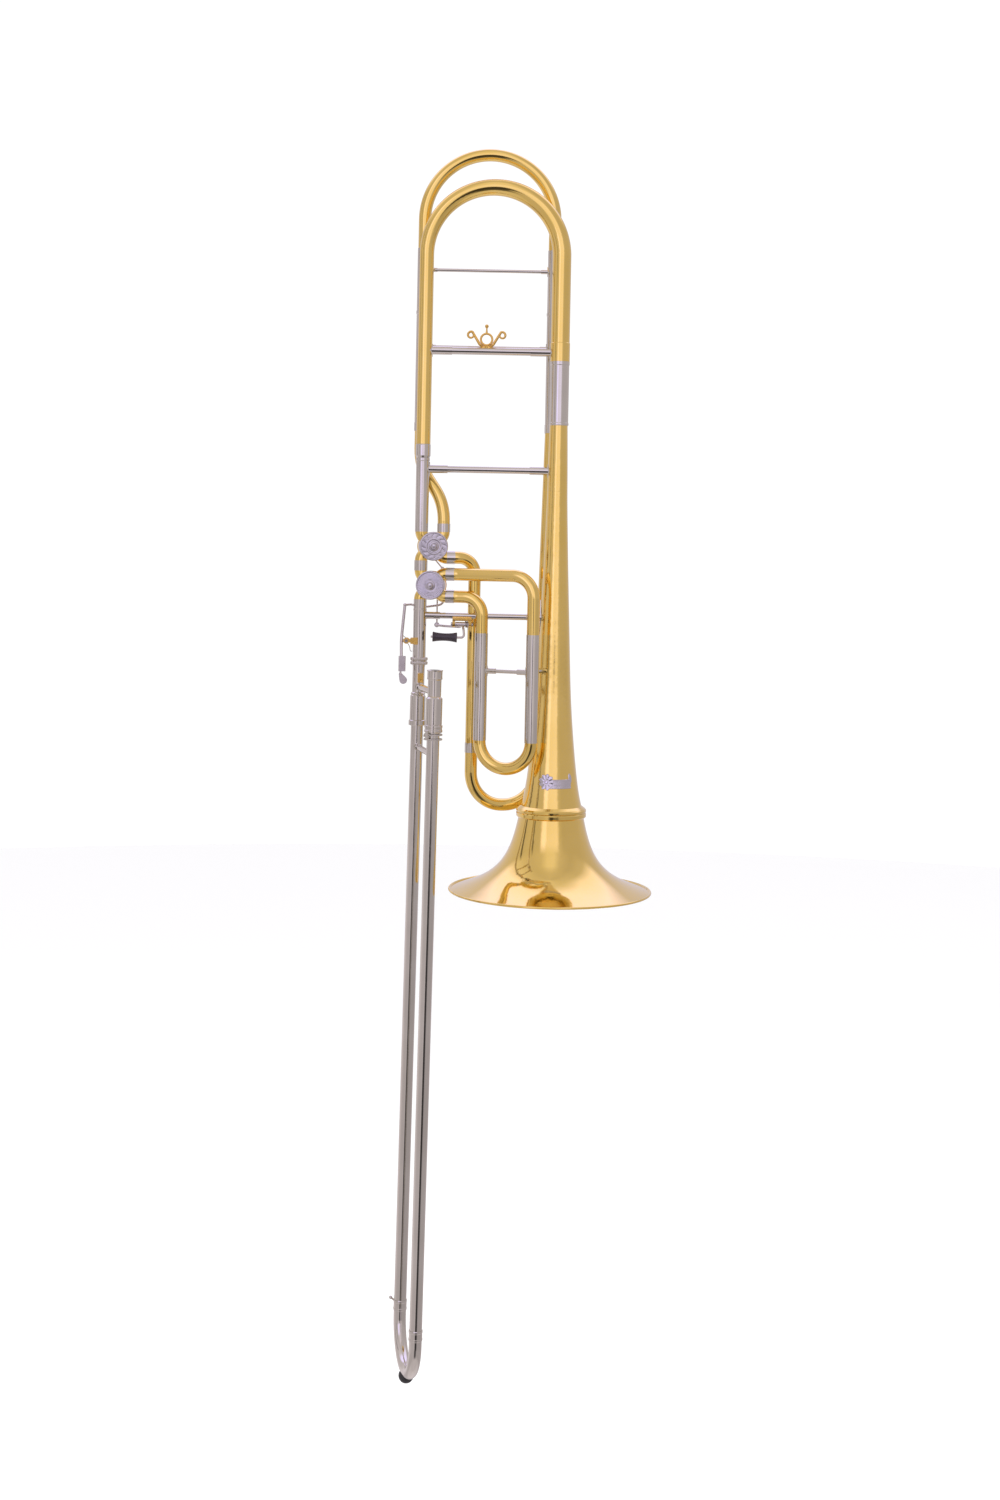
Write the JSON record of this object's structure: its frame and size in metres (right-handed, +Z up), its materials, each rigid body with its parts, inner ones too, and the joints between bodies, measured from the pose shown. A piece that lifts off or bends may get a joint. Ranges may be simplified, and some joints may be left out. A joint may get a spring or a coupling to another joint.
{
  "type": "trombone",
  "caption": "Contrabass trombone with a hand slide, two independent in-line rotary valves with finger and thumb levers, three tuning slides and a screwed bell.",
  "frame": {"origin": "centre of the bell mouth, on the bell's axis", "axes": "+Z up the bell axis from the mouth towards the tuning bows, +X from the hand slide towards the bell, +Y away from the side that the valve caps face"},
  "size_m": [0.3375, 0.267, 1.6078],
  "materials": {
    "lacquered_brass": "polished and clear lacquered",
    "nickel_silver": "polished nickel silver",
    "chrome_plate": "hard chrome plated",
    "steel": "turned steel",
    "spring_steel": "blued spring wire",
    "black_rubber": "matt rubber",
    "black_plastic": "smooth moulded plastic",
    "cork": "pressed cork"
  },
  "bodies": {
    "bell_section": {"bell_flare": "lacquered_brass", "bell_stem": "lacquered_brass", "bell_screw_rings": "lacquered_brass", "bell_badge": "nickel_silver", "tuning_receivers": "nickel_silver", "bell_brace": "nickel_silver", "valve_casings": "lacquered_brass", "valve_bearing_plates": "steel", "valve_caps": "nickel_silver", "valve_knuckles": "lacquered_brass", "loop_ferrules": "nickel_silver", "stop_bumpers": "black_rubber", "bb_loop_tubes": "lacquered_brass", "bb_receivers": "nickel_silver", "d_loop_tubes": "lacquered_brass", "d_receivers": "nickel_silver", "loop_braces": "nickel_silver", "slide_receiver": "nickel_silver", "hand_brace": "nickel_silver", "lever_posts": "lacquered_brass", "lever_screws": "steel", "lever_springs": "spring_steel"},
    "main_tuning_slide": {"tuning_bow": "lacquered_brass", "tuning_inner_legs": "nickel_silver", "tuning_ferrule": "nickel_silver", "tuning_brace": "nickel_silver", "tuning_ornament": "lacquered_brass"},
    "bb_tuning_slide": {"bb_bow": "lacquered_brass", "bb_inner_legs": "nickel_silver", "bb_sleeves": "nickel_silver", "bb_bow_brace": "nickel_silver"},
    "d_tuning_slide": {"d_bow": "lacquered_brass", "d_inner_legs": "nickel_silver", "d_sleeves": "nickel_silver"},
    "bb_valve_rotor": {"bb_rotor": "nickel_silver", "bb_stop_arm": "nickel_silver"},
    "d_valve_rotor": {"d_rotor": "nickel_silver", "d_stop_arm": "nickel_silver"},
    "finger_lever": {"bb_lever": "nickel_silver"},
    "finger_link": {"bb_link": "nickel_silver"},
    "thumb_lever": {"d_lever": "nickel_silver"},
    "thumb_roller": {"d_roller": "black_plastic"},
    "thumb_link": {"d_link": "nickel_silver"},
    "lock_nut_ring": {"lock_nut": "nickel_silver"},
    "inner_slide": {"slide_tenon": "nickel_silver", "inner_slide_tubes": "chrome_plate", "cork_barrels": "nickel_silver", "slide_corks": "cork", "mouthpiece_receiver": "nickel_silver", "leadpipe": "lacquered_brass", "inner_slide_brace": "nickel_silver", "hand_rest_socket": "lacquered_brass"},
    "outer_slide": {"outer_slide_tubes": "nickel_silver", "outer_slide_brace": "nickel_silver", "slide_bow_ferrules": "nickel_silver", "slide_bow": "nickel_silver", "slide_bumper": "black_rubber"},
    "slide_lock": {"slide_lock_ring": "nickel_silver"},
    "water_key_lever": {"water_key": "nickel_silver", "water_key_cork": "cork"}
  },
  "joints": [
    {"name": "main_tuning_pull", "type": "slide", "parent": "bell_section", "child": "main_tuning_slide", "axis": [0, 0, 1], "range_m": [0, 0.05]},
    {"name": "bb_tuning_pull", "type": "slide", "parent": "bell_section", "child": "bb_tuning_slide", "axis": [0, 0, 1], "range_m": [0, 0.1]},
    {"name": "d_tuning_pull", "type": "slide", "parent": "bell_section", "child": "d_tuning_slide", "axis": [0, 0, -1], "range_m": [0, 0.045]},
    {"name": "slide_swivel", "type": "hinge", "parent": "bell_section", "child": "inner_slide", "pos_m": [-0.1776, 0, 0.296], "axis": [0, 0, 1], "range_deg": [-10, 10]},
    {"name": "lock_nut_turn", "type": "hinge", "parent": "bell_section", "child": "lock_nut_ring", "pos_m": [-0.1776, 0, 0.299], "axis": [0, 0, 1], "continuous": true},
    {"name": "main_slide", "type": "slide", "parent": "inner_slide", "child": "outer_slide", "axis": [-0.0097, 0, -1], "range_m": [0, 0.66]},
    {"name": "slide_lock_turn", "type": "hinge", "parent": "inner_slide", "child": "slide_lock", "pos_m": [-0.15385, -0.10003, 0.21537], "axis": [-0.0097, 0, -1], "range_deg": [0, 16]},
    {"name": "water_key_press", "type": "hinge", "parent": "outer_slide", "child": "water_key_lever", "pos_m": [-0.18865, 0.01127, -0.55693], "axis": [0.9711, 0.2385, -0.0094], "range_deg": [0, 9], "stiffness_Nm_per_rad": 0.05, "springref_deg": -22.92},
    {"name": "finger_lever_hinge", "type": "hinge", "parent": "bell_section", "child": "finger_lever", "pos_m": [-0.1945, 0, 0.3257], "axis": [0, -1, 0], "range_deg": [0, 7.53], "stiffness_Nm_per_rad": 0.4, "springref_deg": -11.46},
    {"name": "bb_rotor_turn", "type": "hinge", "parent": "bell_section", "child": "bb_valve_rotor", "pos_m": [-0.16314, 0.00203, 0.4504], "axis": [-0.1392, 0.9903, 0], "range_deg": [0, 90]},
    {"name": "finger_link_hinge", "type": "hinge", "parent": "finger_lever", "child": "finger_link", "pos_m": [-0.15, 0.0312, 0.421], "axis": [0, -1, 0], "range_deg": [-24, 2]},
    {"name": "thumb_lever_hinge", "type": "hinge", "parent": "bell_section", "child": "thumb_lever", "pos_m": [-0.122, -0.002, 0.3484], "axis": [1, 0, 0], "range_deg": [0, 18.7], "stiffness_Nm_per_rad": 0.25, "springref_deg": -11.46},
    {"name": "d_rotor_turn", "type": "hinge", "parent": "bell_section", "child": "d_valve_rotor", "pos_m": [-0.16304, -0.00102, 0.3994], "axis": [-0.0698, -0.9976, 0], "range_deg": [0, 90]},
    {"name": "thumb_link_hinge", "type": "hinge", "parent": "thumb_lever", "child": "thumb_link", "pos_m": [-0.156, 0.0285, 0.346], "axis": [1, 0, 0], "range_deg": [-21, 2]},
    {"name": "thumb_roller_spin", "type": "hinge", "parent": "thumb_lever", "child": "thumb_roller", "pos_m": [-0.128, -0.013, 0.3316], "axis": [-0.9998, 0, 0.0174], "continuous": true}
  ],
  "couplings": [
    {"joint": "bb_rotor_turn", "follows": "finger_lever_hinge", "ratio": 11.945},
    {"joint": "finger_link_hinge", "follows": "finger_lever_hinge", "ratio": -2.9723},
    {"joint": "d_rotor_turn", "follows": "thumb_lever_hinge", "ratio": 4.8123},
    {"joint": "thumb_link_hinge", "follows": "thumb_lever_hinge", "ratio": -1.053}
  ]
}
